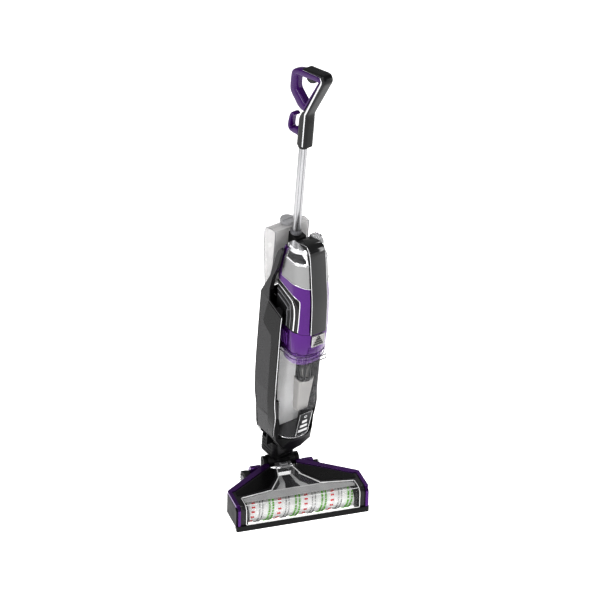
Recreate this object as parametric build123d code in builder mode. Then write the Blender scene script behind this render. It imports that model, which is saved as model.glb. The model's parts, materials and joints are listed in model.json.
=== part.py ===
"""Upright carpet and floor cleaner: suction foot, swivel neck, body with two tanks, pole and handle.

Foot frame: millimetres, X across, -Y forward, Z up, X axis through the recline pivot.
Upright frame: origin at the recline pivot, z along the pole, -y the front of the body.
The upright leans forward and is swivelled on the foot, as it stands when parked.
"""
import os
from build123d import *

# ---------------------------------------------------------------- driving dimensions (mm, degrees)
LEAN = 8.0                    # forward lean of the parked upright
SWIVEL = 18.0                 # swivel of the parked upright on its neck
PIVOT_Z = 62.0                # height of the recline axis

FOOT_HALF = 156.0             # half width of the foot
FOOT_FRONT = -172.0           # front edge of the foot, from the recline axis
SHOULDER_Y = -94.0            # where the straight side ends and the rear taper starts
FOOT_TOP = 62.0
PLATE_LOW, PLATE_HIGH = 5.0, 9.0
WALL = 3.0

BRUSH_Y, BRUSH_Z = -140.0, 27.0
BRUSH_R, CORE_R, SHAFT_R = 24.5, 15.0, 4.0
BRUSH_HALF = 126.0
END_WALL = 127.5              # inner face of the brush chamber's end walls
BELT_X, BELT_WIDTH = 130.6, 6.0
MOTOR_Y, MOTOR_Z, MOTOR_R = -101.0, 42.0, 12.8
BRUSH_PULLEY_R, MOTOR_PULLEY_R = 14.0, 7.0
BELT_THICK = 2.0
RUN = 0.06                    # running clearance of a shaft in its hole, on the radius
GAP = 0.4                     # clearance between pieces that move past each other

WHEEL_R, WHEEL_WIDTH, WHEEL_X, WHEEL_Y = 24.0, 14.0, 78.0, -10.0
AXLE_R = 4.0
EAR_IN, EAR_OUT, EAR_R = 32.0, 42.0, 13.0
PIN_R = 5.0
BARREL_R = 15.0
POST_R, POST_TOP = 12.0, 50.0

BODY_HALF = 60.0              # half width of the body over its shells
INNER_HALF = 47.0             # half width of the covers and tanks between the shells
SHELL_IN = 47.6
TANK_FLOOR = 112.0
SEAM_Z = 426.0                # seam between the dirty tank's lid and the upper body
DRUM_LOW, DRUM_HIGH = 549.0, 598.0
STRIP_HALF = 20.0
POLE_R, POLE_Y = 9.2, 10.0
SOCKET_TOP = 632.0
HANDLE_LOW = 864.0
HANDLE_HALF, GRIP_HALF = 12.5, 11.0

# ---------------------------------------------------------------- placing and writing
AT_FOOT = Location((0, 0, 0))
AT_NECK = Location((0, 0, PIVOT_Z), (LEAN, 0, 0))
AT_BODY = Location((0, 0, PIVOT_Z), (LEAN, 0, SWIVEL))
pieces = {}


def keep(name, piece, where):
    """Remember a finished piece under its node name, placed in the foot frame."""
    pieces[name] = where * piece.part


# ---------------------------------------------------------------- sketch helpers
def side_slab(outline, x_low, x_high, mode=Mode.ADD, inset=0.0):
    """Extrude a side-view outline of (y, z) points from x_low to x_high."""
    with BuildSketch(Plane.YZ.offset(x_low)) as profile:
        with BuildLine() as edge:
            Polyline(*outline, close=True)
        make_face(edge.edges())
        if inset:
            offset(amount=-inset, kind=Kind.INTERSECTION, mode=Mode.REPLACE)
    extrude(profile.sketch, amount=x_high - x_low, mode=mode)


def plan_slab(outline, z_low, z_high, mode=Mode.ADD):
    """Extrude a plan outline of (x, y) points from z_low to z_high."""
    with BuildSketch(Plane.XY.offset(z_low)) as profile:
        with BuildLine() as edge:
            Polyline(*outline, close=True)
        make_face(edge.edges())
    extrude(profile.sketch, amount=z_high - z_low, mode=mode)


def front_slab(outline, y_low, y_high, mode=Mode.ADD):
    """Extrude a front-view outline of (x, z) points from y_low to y_high."""
    with BuildSketch(Plane.XZ.offset(-y_low)) as profile:
        with BuildLine() as edge:
            Polyline(*outline, close=True)
        make_face(edge.edges())
    extrude(profile.sketch, amount=-(y_high - y_low), mode=mode)


def block(low, high, mode=Mode.ADD):
    """A box between two corners."""
    centre = [(a + b) / 2 for a, b in zip(low, high)]
    size = [b - a for a, b in zip(low, high)]
    with Locations(tuple(centre)):
        Box(*size, mode=mode)


def rod(axis_plane, radius, start, end, at=(0, 0), mode=Mode.ADD):
    """A round rod from start to end along a base plane's normal, centred at a point of that plane."""
    with BuildSketch(axis_plane.offset(start)) as profile:
        with Locations(at):
            Circle(radius)
    extrude(profile.sketch, amount=end - start, mode=mode)


def bow_section(z, half, rear, front):
    """A cover's plan section at height z: a straight back and sides, and a half-ellipse front."""
    reach = 0.8 * half
    shoulder = front + reach
    with BuildSketch(Plane.XY.offset(z)) as section:
        with BuildLine() as edge:
            Polyline((-half, shoulder), (-half, rear), (half, rear), (half, shoulder))
            EllipticalCenterArc((0, shoulder), half, reach, start_angle=180, arc_size=180)
        make_face(edge.edges())
    return section.sketch


def bow_loft(levels, inset=0.0, mode=Mode.ADD):
    """Loft the bowed sections of (z, half width, rear, front)."""
    sections = [bow_section(z, half - inset, rear, front + inset) for z, half, rear, front in levels]
    loft(sections, ruled=True, mode=mode)


def mirrored(points):
    """A closed outline from its right half, mirrored in x."""
    return points + [(-x, y) for x, y in reversed(points)]


# ================================================================ FOOT
# The base: a plate with a slot for the brush, a curved wall behind the brush, end walls,
# ears for the recline pins and stub axles for the two rear wheels.
rear_plan = [(152, FOOT_FRONT + 6), (152, SHOULDER_Y - 4), (66, -33), (66, 8)]
with BuildPart() as foot_base:
    plan_slab(mirrored(rear_plan), PLATE_LOW, PLATE_HIGH)
    block((-END_WALL, FOOT_FRONT, 0), (END_WALL, -119, 20), mode=Mode.SUBTRACT)
    rod(Plane.YZ, BRUSH_R + 4, -END_WALL, END_WALL, at=(BRUSH_Y, BRUSH_Z))
    rod(Plane.YZ, BRUSH_R + 2, -END_WALL - 1, END_WALL + 1, at=(BRUSH_Y, BRUSH_Z), mode=Mode.SUBTRACT)
    block((-END_WALL - 2, FOOT_FRONT - 4, -10), (END_WALL + 2, -122, 70), mode=Mode.SUBTRACT)
    block((-END_WALL - 2, -125, -10), (END_WALL + 2, -90, PLATE_LOW), mode=Mode.SUBTRACT)
    block((-END_WALL - 2, -125, 51), (END_WALL + 2, -90, 70), mode=Mode.SUBTRACT)
    block((-40, -125, 34), (40, -100, 70), mode=Mode.SUBTRACT)
    for side in (-1, 1):
        wall_low, wall_high = sorted((side * END_WALL, side * (END_WALL + 2.4)))
        side_slab([(-165, PLATE_LOW), (-165, 48), (-157, 56), (-104, 56), (-104, PLATE_LOW)],
                  wall_low, wall_high)
        rod(Plane.YZ, SHAFT_R + RUN, wall_low - 1, wall_high + 1, at=(BRUSH_Y, BRUSH_Z),
            mode=Mode.SUBTRACT)
        ear_low, ear_high = sorted((side * EAR_IN, side * EAR_OUT))
        side_slab([(-12, PLATE_LOW), (8, PLATE_LOW), (EAR_R, PIVOT_Z), (-EAR_R, PIVOT_Z)],
                  ear_low, ear_high)
        rod(Plane.YZ, EAR_R, ear_low, ear_high, at=(0, PIVOT_Z))
        rod(Plane.YZ, PIN_R + RUN, ear_low, ear_high, at=(0, PIVOT_Z), mode=Mode.SUBTRACT)
        bracket_low, bracket_high = sorted((side * 60, side * 66))
        side_slab([(-26, PLATE_LOW), (6, PLATE_LOW), (6, 28), (-4, 38), (-26, 38)],
                  bracket_low, bracket_high)
        stub_low, stub_high = sorted((side * 66, side * (WHEEL_X + WHEEL_WIDTH)))
        rod(Plane.YZ, AXLE_R, stub_low, stub_high, at=(WHEEL_Y, WHEEL_R))
keep("foot_base", foot_base, AT_FOOT)

# The dark top covers, left and right of the duct, with the housings at the brush ends.
cover_plan = [(31, -24), (138, -102), (146, -104), (146, -128), (132, -128), (57, -113.5),
              (27.5, -72), (20, -38), (31, -30)]
for side, side_name in ((-1, "left"), (1, "right")):
    plan = [(side * x, y) for x, y in cover_plan]
    near, far = sorted((side * 134.6, side * 146))
    with BuildPart() as foot_cover:
        plan_slab(plan, 58, FOOT_TOP)
        block((near, FOOT_FRONT + 4, 14.2), (far, -104, FOOT_TOP))
        front_edge = foot_cover.edges().filter_by(Axis.X).sort_by(Axis.Y)[0:2].sort_by(Axis.Z)[-1]
        fillet(front_edge, 12)
        pocket_near, pocket_far = sorted((side * 130, side * 143.6))
        side_slab([(-165, PLATE_HIGH), (-165, 48), (-155, 58), (-100, 58), (-100, PLATE_HIGH)],
                  pocket_near, pocket_far, mode=Mode.SUBTRACT)
    keep("foot_cover_" + side_name, foot_cover, AT_FOOT)

# The black side skirts, one solid each side.
with BuildPart() as side_skirts:
    for side in (-1, 1):
        near, far = sorted((side * 146.5, side * FOOT_HALF))
        side_slab([(FOOT_FRONT + 6.5, 4), (FOOT_FRONT + 6.5, 50), (FOOT_FRONT + 16, 57.5), (-96, 57.5),
                   (-96, 9.3), (-160, 9.3), (-160, 4)], near, far)
        block((min(side * 130, side * 152.5), FOOT_FRONT, 0), (max(side * 130, side * 152.5), -90, 9.3),
              mode=Mode.SUBTRACT)
    fillet(side_skirts.edges().filter_by(Axis.Z).group_by(Axis.Y)[-1], 2.5)
keep("side_skirts", side_skirts, AT_FOOT)

# The purple trims: along the rear taper, over the side's top edge and down the front corner.
with BuildPart() as foot_trims:
    for side in (-1, 1):
        taper = [(38, -9), (150, -93), (155.5, -98), (155.5, FOOT_FRONT + 10), (147, FOOT_FRONT + 10),
                 (147, -103.5), (138.3, -101.4), (32, -23), (32, -14)]
        plan_slab([(side * x, y) for x, y in taper], 58, 64)
        leg_near, leg_far = sorted((side * 147, side * 153))
        side_slab([(FOOT_FRONT + 0.5, 14), (FOOT_FRONT + 0.5, 54), (FOOT_FRONT + 11, 64),
                   (FOOT_FRONT + 11, 58), (FOOT_FRONT + 6, 53), (FOOT_FRONT + 6, 14)],
                  leg_near, leg_far)
        wall = [(40, -14), (147, -94.5), (146.2, -95.8), (40, -15.4)]
        plan_slab([(side * x, y) for x, y in wall], PLATE_HIGH + 0.2, 58)
        block((min(side * 30, side * 44), -20, 0), (max(side * 30, side * 44), 20, 58),
              mode=Mode.SUBTRACT)
    rod(Plane.YZ, EAR_R + 0.5, -43, 43, at=(0, PIVOT_Z), mode=Mode.SUBTRACT)
keep("foot_trims", foot_trims, AT_FOOT)

# The black strip along the front, which the foot rests on.
with BuildPart() as front_bumper:
    side_slab([(FOOT_FRONT, 0), (FOOT_FRONT, 13), (FOOT_FRONT + 4, 13.6), (FOOT_FRONT + 5.8, 4.6),
               (FOOT_FRONT + 5.8, 0)], -FOOT_HALF, FOOT_HALF)
    fillet(front_bumper.edges().filter_by(Axis.Z).group_by(Axis.Y)[0], 3)
keep("front_bumper", front_bumper, AT_FOOT)

with BuildPart() as squeegee:
    side_slab([(-108, PLATE_LOW), (-112, PLATE_LOW), (-112, 3.6), (-110.6, 3.6), (-110.2, 0.9),
               (-109.4, 0.9), (-109, 3.6), (-108, 3.6)], -118, 118)
keep("squeegee", squeegee, AT_FOOT)

# The clear window over the brush, with the duct that funnels back to the neck.
with BuildPart() as brush_window:
    side_slab([(FOOT_FRONT + 0.6, 14.2), (FOOT_FRONT + 0.6, 61.5), (-110, 61.5), (-110, 14.2)],
              -134, 134)
    fillet(brush_window.edges().filter_by(Axis.X).sort_by(Axis.Y)[0:2].sort_by(Axis.Z)[-1], 13)
    side_slab([(FOOT_FRONT + 3.2, 0), (FOOT_FRONT + 3.2, 48), (FOOT_FRONT + 14, 58.9), (-100, 58.9),
               (-100, 0)], -140, 140, mode=Mode.SUBTRACT)
    for side in (-1, 1):
        plan_slab([(side * x, y) for x, y in [(140, -130), (56.4, -115), (50, -100), (140, -100)]],
                  40, 70, mode=Mode.SUBTRACT)
    duct = [(56, -118), (55.6, -114.6), (26.8, -72), (19.2, -37)]
    plan_slab(mirrored(duct), 42, 61.5)
    inner = [(53, -116), (24, -72), (16.6, -39.5)]
    plan_slab(mirrored(inner), 40, 58.9, mode=Mode.SUBTRACT)
    block((-60, -118.5, 40), (60, -112, 58.9), mode=Mode.SUBTRACT)
keep("brush_window", brush_window, AT_FOOT)

# The duct's outlet cover in front of the neck, and the window's release latch on it.
with BuildPart() as pivot_cover:
    block((-18.6, -36.4, 40), (18.6, -17, 66))
    fillet(pivot_cover.edges().filter_by(Axis.X).group_by(Axis.Z)[-1].sort_by(Axis.Y)[0], 6)
    block((-15, -40, 36), (15, -20, 57), mode=Mode.SUBTRACT)
    block((-9 - GAP, -32 - GAP, 60), (9 + GAP, -23 + GAP, 70), mode=Mode.SUBTRACT)
keep("pivot_cover", pivot_cover, AT_FOOT)

with BuildPart() as window_latch:
    block((-9, -32, 63.2), (9, -23, 68.5))
    fillet(window_latch.edges().group_by(Axis.Z)[-1], 1.5)
keep("window_latch", window_latch, AT_FOOT)

with BuildPart() as spray_bar:
    rod(Plane.YZ, 2.4, -END_WALL, END_WALL, at=(-121.5, 54.6))
    with Locations(*[Location((x, -123.5, 53), (-35, 0, 0)) for x in (-80, -40, 0, 40, 80)]):
        Cone(1.6, 2.6, 4)
keep("spray_bar", spray_bar, AT_FOOT)

# The brush roll and its belt drive.
with BuildPart() as brush_core:
    rod(Plane.YZ, CORE_R, -BRUSH_HALF, BRUSH_HALF, at=(BRUSH_Y, BRUSH_Z))
    rod(Plane.YZ, SHAFT_R, -BELT_X - BELT_WIDTH - 1, END_WALL + 2, at=(BRUSH_Y, BRUSH_Z))
keep("brush_core", brush_core, AT_FOOT)

with BuildPart() as brush_pile:
    rod(Plane.YZ, BRUSH_R, -BRUSH_HALF + 1, BRUSH_HALF - 1, at=(BRUSH_Y, BRUSH_Z))
    rod(Plane.YZ, CORE_R, -BRUSH_HALF, BRUSH_HALF, at=(BRUSH_Y, BRUSH_Z), mode=Mode.SUBTRACT)
keep("brush_pile", brush_pile, AT_FOOT)

belt_low, belt_high = -BELT_X - BELT_WIDTH, -BELT_X
with BuildPart() as brush_pulley:
    rod(Plane.YZ, BRUSH_PULLEY_R, belt_low, belt_high, at=(BRUSH_Y, BRUSH_Z))
    rod(Plane.YZ, SHAFT_R, belt_low - 1, belt_high + 1, at=(BRUSH_Y, BRUSH_Z), mode=Mode.SUBTRACT)
keep("brush_pulley", brush_pulley, AT_FOOT)

with BuildPart() as motor_pulley:
    rod(Plane.YZ, MOTOR_PULLEY_R, belt_low, belt_high, at=(MOTOR_Y, MOTOR_Z))
    rod(Plane.YZ, 2.0, belt_high, -118, at=(MOTOR_Y, MOTOR_Z))
keep("motor_pulley", motor_pulley, AT_FOOT)


def belt_face(grow):
    """The taut belt's outline round both pulleys, grown by a margin."""
    with BuildSketch(Plane.YZ.offset(belt_low + 0.5)) as outline:
        with BuildLine() as rims:
            CenterArc((BRUSH_Y, BRUSH_Z), BRUSH_PULLEY_R + grow, 0, 360)
            CenterArc((MOTOR_Y, MOTOR_Z), MOTOR_PULLEY_R + grow, 0, 360)
        make_hull(rims.edges())
    return outline.sketch


with BuildPart() as drive_belt:
    extrude(belt_face(BELT_THICK), amount=BELT_WIDTH - 1)
    extrude(belt_face(RUN), amount=BELT_WIDTH - 1, mode=Mode.SUBTRACT)
keep("drive_belt", drive_belt, AT_FOOT)

with BuildPart() as brush_motor:
    rod(Plane.YZ, MOTOR_R, -127, -72, at=(MOTOR_Y, MOTOR_Z))
    rod(Plane.YZ, 5, -72, -68, at=(MOTOR_Y, MOTOR_Z))
    rod(Plane.YZ, 2.0 + RUN, -127, -117, at=(MOTOR_Y, MOTOR_Z), mode=Mode.SUBTRACT)
    block((-112, -98, PLATE_HIGH), (-88, -92, 31))
keep("brush_motor", brush_motor, AT_FOOT)

# Rear wheels and the purple covers over their brackets.
for side, side_name in ((-1, "left"), (1, "right")):
    low, high = sorted((side * (WHEEL_X - WHEEL_WIDTH / 2 + 4), side * (WHEEL_X + WHEEL_WIDTH / 2 + 4)))
    with BuildPart() as rear_wheel:
        rod(Plane.YZ, WHEEL_R, low, high, at=(WHEEL_Y, WHEEL_R))
        fillet(rear_wheel.edges().filter_by(GeomType.CIRCLE), 2.5)
        outer = high if side > 0 else low
        rod(Plane.YZ, 15, outer - side * 3, outer, at=(WHEEL_Y, WHEEL_R), mode=Mode.SUBTRACT)
        rod(Plane.YZ, AXLE_R + RUN, low - 1, high + 1, at=(WHEEL_Y, WHEEL_R), mode=Mode.SUBTRACT)
    keep("rear_wheel_" + side_name, rear_wheel, AT_FOOT)

with BuildPart() as wheel_covers:
    for side in (-1, 1):
        near, far = sorted((side * 50, side * 74))
        side_slab([(-18, 38.3), (4, 38.3), (4, 46), (-6, 60), (-18, 60)], near, far)
    fillet(wheel_covers.edges().filter_by(Axis.X).group_by(Axis.Z)[-1], 3)
keep("wheel_covers", wheel_covers, AT_FOOT)

# ================================================================ NECK
with BuildPart() as neck_yoke:
    rod(Plane.YZ, BARREL_R, -EAR_IN + GAP, EAR_IN - GAP)
    rod(Plane.YZ, PIN_R, -EAR_OUT - 1, EAR_OUT + 1)
    rod(Plane.XY, 21, 10, 20)
    rod(Plane.XY, POST_R, 10, POST_TOP)
    rod(Plane.XY, 7.5, 12, POST_TOP, mode=Mode.SUBTRACT)
keep("neck_yoke", neck_yoke, AT_NECK)

# ================================================================ UPRIGHT
FRONT_VIEW = mirrored([(20, 20), (24, 62), (50, 104), (57, 160), (BODY_HALF, 230),
                       (BODY_HALF, 480), (57, 560), (50, 670)])

with BuildPart() as neck_fairing:
    with BuildSketch(Plane.XY.offset(21)):
        with Locations((0, 13)):
            RectangleRounded(58, 58, 12)
    extrude(amount=41)
    rod(Plane.XY, POST_R + RUN, 20, POST_TOP + GAP, mode=Mode.SUBTRACT)
    rod(Plane.XY, 7.5, 20, 63, mode=Mode.SUBTRACT)
keep("neck_fairing", neck_fairing, AT_BODY)

# The nose that cradles the dirty tank's foot.
with BuildPart() as lower_nose:
    side_slab([(-17, 31), (-41, 60), (-58, 98), (-66, TANK_FLOOR - 0.4), (-43.4, 167),
               (-34.4, TANK_FLOOR - 0.4), (-16.4, 62.6)], -BODY_HALF, BODY_HALF)
    side_slab([(-16.4, 62.6), (-34.4, TANK_FLOOR - 0.4), (-7, TANK_FLOOR - 0.4), (-7, 62.6)],
              -SHELL_IN + 0.6, SHELL_IN - 0.6)
    front_slab(FRONT_VIEW, -100, 60, mode=Mode.INTERSECT)
    bow_loft([(20, 40, 20, -66.5), (112, 57, 20, -66.5), (170, 60, 20, -66.5)], mode=Mode.INTERSECT)
    block((-INNER_HALF - 0.4, -100, TANK_FLOOR - 0.4), (INNER_HALF + 0.4, 0, 200), mode=Mode.SUBTRACT)
keep("lower_nose", lower_nose, AT_BODY)

# The two side shells: hollow side walls with the rear corners of the body.
SHELL_SIDE = [(36, 62.6), (32, 104), (31, 167), (38, 214), (41, 300), (41, 478), (14, 538),
              (0, 610), (-7, 620), (-14.5, 620), (-4, 562), (7, 533), (12, 500), (9, 471),
              (-40, 456), (-38, 381), (-38, 215), (-43, 169), (-34, 113), (-16, 62.6)]
REAR_HOLLOW = [(32, 66), (28.5, 104), (27.5, 167), (34.5, 214), (37.5, 300), (37.5, 474),
               (12, 530), (-60, 530), (-60, 66)]
for side, side_name in ((-1, "left"), (1, "right")):
    near, far = sorted((side * 30, side * BODY_HALF))
    with BuildPart() as body_shell:
        side_slab(SHELL_SIDE, near, far)
        front_slab(FRONT_VIEW, -100, 60, mode=Mode.INTERSECT)
        inner_near, inner_far = sorted((side * 29, side * SHELL_IN))
        side_slab(REAR_HOLLOW, inner_near, inner_far, mode=Mode.SUBTRACT)
        block((inner_near, -60, 478), (inner_far, 60, 700), mode=Mode.SUBTRACT)
        pocket_near, pocket_far = sorted((side * (SHELL_IN - 1), side * (BODY_HALF - 3)))
        side_slab([(28, 230), (34, 300), (34, 468), (14, 500), (-20, 456), (-20, 230)],
                  pocket_near, pocket_far, mode=Mode.SUBTRACT)
        bevel_cut = [(side * x, y) for x, y in [(46, -25), (60.5, -39), (60.5, -60), (46, -60)]]
        plan_slab(bevel_cut, 215, 470, mode=Mode.SUBTRACT)
    keep(side_name + "_shell", body_shell, AT_BODY)

with BuildPart() as rear_cover:
    side_slab([(36, 62.6), (32, 104), (31, 167), (38, 214), (41, 300), (41, 478), (38, 478),
               (38, 300), (35, 214), (28, 167), (29, 104), (33, 62.6)], -29.7, 29.7)
    front_slab(FRONT_VIEW, -100, 60, mode=Mode.INTERSECT)
    with Locations(Location((0, 40, 262), (90, 0, 0))):
        Cylinder(4, 20, mode=Mode.SUBTRACT)
    with Locations(*[Location((x, 40, z), (90, 0, 0)) for x in (-23, 23) for z in (320, 455)]):
        Cylinder(2.1, 20, mode=Mode.SUBTRACT)
keep("rear_cover", rear_cover, AT_BODY)

with BuildPart() as cover_screws:
    with Locations(*[Location((x, 36, z), (90, 0, 0)) for x in (-23, 23) for z in (320, 455)]):
        Cylinder(1.9, 10)
    with Locations(*[Location((x, 41.8, z), (90, 0, 0)) for x in (-23, 23) for z in (320, 455)]):
        Cylinder(3.6, 1.6)
    with Locations(*[(x, 42.4, z) for x in (-23, 23) for z in (320, 455)]):
        Box(4, 0.9, 0.9, mode=Mode.SUBTRACT)
        Box(0.9, 0.9, 4, mode=Mode.SUBTRACT)
keep("cover_screws", cover_screws, AT_BODY)

with BuildPart() as lower_cord_hook:
    side_slab([(41, 330), (44, 330), (46, 344), (55, 344), (55, 289), (57, 286), (61, 286), (61, 349),
               (57, 354), (41, 354)], -13, 13)
    fillet(lower_cord_hook.edges().filter_by(Axis.Y).group_by(Axis.Z)[-1], 2)
keep("lower_cord_hook", lower_cord_hook, AT_BODY)

# The inner frame: a back plate behind the dirty tank and a shelf under the motor.
with BuildPart() as spine_frame:
    block((-INNER_HALF, -6.5, 66.5), (INNER_HALF, -3, 426))
    block((-43.4, -6.5, 425), (43.4, -3, 430))
    block((-43.4, -6.5, 426.6), (43.4, 34, 430))
    bow_loft([(426.6, 43, -3, -90), (430, 43, -3, -90)])
    block((-42, -6.5, 430), (-39.4, 6, 545))
    block((39.4, -6.5, 430), (42, 6, 545))
    block((-42, 0, 541.4), (42, 22, 545))
    rod(Plane.XY, POLE_R + 0.05, 540, 546, at=(0, POLE_Y), mode=Mode.SUBTRACT)
    with Locations(Location((0, -4, 395), (90, 0, 0))):
        Cylinder(10, 12, mode=Mode.SUBTRACT)
    rod(Plane.XY, 14, 426, 431, at=(0, -42), mode=Mode.SUBTRACT)
    rod(Plane.XY, 3.2, 426, 431, at=(28, 14), mode=Mode.SUBTRACT)
keep("spine_frame", spine_frame, AT_BODY)

with BuildPart() as suction_tube:
    rod(Plane.XY, 11, 62.6, 408, at=(0, 14))
    with Locations(Location((0, 5.25, 395), (90, 0, 0))):
        Cylinder(9.8, 17.5)
    rod(Plane.XY, 9, 62, 406, at=(0, 14), mode=Mode.SUBTRACT)
    with Locations(Location((0, 2, 395), (90, 0, 0))):
        Cylinder(8, 20, mode=Mode.SUBTRACT)
keep("suction_tube", suction_tube, AT_BODY)

with BuildPart() as water_pump:
    block((17, 2, 130), (39, 26, 172))
    fillet(water_pump.edges().filter_by(Axis.Z), 4)
    rod(Plane.XY, 3, 172, 470, at=(28, 14))
    rod(Plane.XY, 3, 80, 130, at=(28, 14))
keep("water_pump", water_pump, AT_BODY)

with BuildPart() as control_board:
    block((-45, 20, 190), (-14, 21.6, 330))
    block((-40, 12, 200), (-24, 20, 224))
    block((-42, 8, 240), (-20, 20, 262))
    with Locations(*[Location((-34, 15, z), (90, 0, 0)) for z in (280, 300)]):
        Cylinder(6, 10)
keep("control_board", control_board, AT_BODY)

# Suction motor, its can and its fan.
FAN_Y = -42.0
with BuildPart() as motor_housing:
    rod(Plane.XY, 38, 430.3, 541, at=(0, FAN_Y))
    rod(Plane.XY, 35.5, 433.3, 538.5, at=(0, FAN_Y), mode=Mode.SUBTRACT)
    rod(Plane.XY, 14, 430, 434, at=(0, FAN_Y), mode=Mode.SUBTRACT)
    with Locations(*[(0, FAN_Y, 520 - 9 * row) for row in range(3)]):
        Box(90, 26, 4, mode=Mode.SUBTRACT)
    rod(Plane.XY, 26, 500, 503, at=(0, FAN_Y))
    for turn in range(4):
        with Locations(Location((0, FAN_Y, 501.5), (0, 0, 45 + 90 * turn))):
            with Locations((30, 0, 0)):
                Box(12, 8, 3)
    rod(Plane.XY, 4, 499, 504, at=(0, FAN_Y), mode=Mode.SUBTRACT)
keep("motor_housing", motor_housing, AT_BODY)

with BuildPart() as suction_motor:
    rod(Plane.XY, 24, 446, 500, at=(0, FAN_Y))
    rod(Plane.XY, 12, 440, 446, at=(0, FAN_Y))
    rod(Plane.XY, 3 + RUN, 480, 501, at=(0, FAN_Y), mode=Mode.SUBTRACT)
    fillet(suction_motor.edges().group_by(Axis.Z)[-1].sort_by(SortBy.LENGTH)[-1], 3)
keep("suction_motor", suction_motor, AT_BODY)

with BuildPart() as impeller:
    rod(Plane.XY, 3, 481, 536, at=(0, FAN_Y))
    rod(Plane.XY, 33, 508, 510, at=(0, FAN_Y))
    rod(Plane.XY, 8, 508, 528, at=(0, FAN_Y))
    with Locations((0, FAN_Y, 517.5)):
        with PolarLocations(18, 9):
            Box(26, 1.6, 17)
keep("impeller", impeller, AT_BODY)

# The upper covers are cut from one bowed wall.
COVER_LEVELS = [(SEAM_Z + 0.4, INNER_HALF, -2, -96), (506, 46.5, -2, -91), (DRUM_HIGH, 45, -2, -75)]
PANEL_SIDE = [(-1, 562), (7, 534), (-57, 519), (-73, 511), (-76, 453), (-76, 420), (-110, 420),
              (-110, 541), (-89, 541.5), (-61, 548.5), (-9.5, 548.5), (-7, 560), (-12, 600), (-1, 600)]
DRUM_SIDE = [(-110, 542), (-89, 542), (-61, 549), (-10.1, 549), (-7.6, 560), (-12.6, 600), (-110, 600)]
VENT_SIDE = [(8, 425), (-75.4, 425), (-75.4, 453), (-72.4, 510.6), (-57, 518.4), (8, 533.6)]


def cover_wall(outline, x_low, x_high, wall=WALL):
    """The part of the upper body's bowed wall inside a side-view outline and an x range."""
    bow_loft(COVER_LEVELS)
    bow_loft([(z - (z < 430) * 1, half, rear + 5, front) for z, half, rear, front in COVER_LEVELS],
             inset=wall, mode=Mode.SUBTRACT)
    side_slab(outline, x_low, x_high, mode=Mode.INTERSECT)


for side, side_name in ((-1, "left"), (1, "right")):
    near, far = sorted((side * (STRIP_HALF + 0.3), side * 60))
    with BuildPart() as purple_panel:
        cover_wall(PANEL_SIDE, near, far)
        arm_near, arm_far = sorted((side * (SHELL_IN - 7), side * (SHELL_IN - 4)))
        side_slab([(-1.5, 594), (-11, 594), (-12, 600), (-18, 624), (-12, 630), (-1.5, 600)],
                  arm_near, arm_far)
    keep("purple_panel_" + side_name, purple_panel, AT_BODY)

with BuildPart() as silver_drum:
    cover_wall(DRUM_SIDE, -60, 60)
    block((-STRIP_HALF - 0.3, -120, 500), (STRIP_HALF + 0.3, -60, 700), mode=Mode.SUBTRACT)
    bow_loft([(DRUM_HIGH - 3, 42.2, -14, -72), (DRUM_HIGH, 42.2, -14, -72)])
    block((-STRIP_HALF - 0.3, -120, 500), (STRIP_HALF + 0.3, -68, 700), mode=Mode.SUBTRACT)
keep("silver_drum", silver_drum, AT_BODY)

with BuildPart() as vent_grilles:
    bow_loft(COVER_LEVELS)
    bow_loft([(SEAM_Z, INNER_HALF, 3, -96), (506, 46.5, 3, -91), (599, 45, 3, -75)],
             inset=WALL, mode=Mode.SUBTRACT)
    side_slab(VENT_SIDE, -60, 60, mode=Mode.INTERSECT)
    block((-40, -120, 400), (40, -60, 600), mode=Mode.SUBTRACT)
    for step in range(6):
        rise = 7.5 * step
        side_slab([(-4, 521 - rise), (-4, 518 - rise), (-40, 492 - rise), (-40, 495 - rise)],
                  -60, 60, mode=Mode.SUBTRACT)
    block((-42, -60, 400), (42, 10, 600), mode=Mode.SUBTRACT)
keep("vent_grilles", vent_grilles, AT_BODY)

# The dark centre strip: down the front and over the top to the pole socket.
with BuildPart() as front_strip:
    side_slab([(-98, SEAM_Z + 0.4), (-93, 506), (-84, 560), (-76, 604), (-69, 630), (-61, 639),
               (-50, 640.5), (-13.5, 629), (-13.5, 625.5), (-50, 637), (-59, 635.5), (-66, 629),
               (-72.6, 603), (-80.6, 560), (-89.4, 506), (-94.4, SEAM_Z + 0.4)],
              -STRIP_HALF, STRIP_HALF)
keep("front_strip", front_strip, AT_BODY)

# The silver carry handle: two bowed cheeks over the finger opening, joined by a top bar.
CARRY_LEVELS = [(DRUM_HIGH + 0.4, 44.6, -12.6, -74), (634, 38, -12.6, -62)]
with BuildPart() as carry_handle:
    bow_loft(CARRY_LEVELS)
    side_slab([(-20, DRUM_HIGH + 6), (-22, 620), (-54, 624), (-64, 610), (-65.5, DRUM_HIGH + 6)],
              -60, 60, mode=Mode.SUBTRACT)
    block((-STRIP_HALF - 0.3, -100, 590), (STRIP_HALF + 0.3, -53, 700), mode=Mode.SUBTRACT)
    side_slab([(-60, 636.6), (-50, 636.6), (-10, 624), (-10, 660), (-60, 660)],
              -STRIP_HALF - 0.3, STRIP_HALF + 0.3, mode=Mode.SUBTRACT)
    block((-9.5, -47, 618), (9.5, -29.5, 641), mode=Mode.SUBTRACT)
    side_slab([(-8, 560), (-13.2, 600), (-21, 640), (-13, 652), (5, 652), (5, 560)],
              -60, -37, mode=Mode.SUBTRACT)
    side_slab([(-8, 560), (-13.2, 600), (-21, 640), (-13, 652), (5, 652), (5, 560)],
              37, 60, mode=Mode.SUBTRACT)
keep("carry_handle", carry_handle, AT_BODY)

with BuildPart() as tank_release:
    block((-9, -46.5, 620), (9, -30, 624.6))
keep("tank_release", tank_release, AT_BODY)

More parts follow.
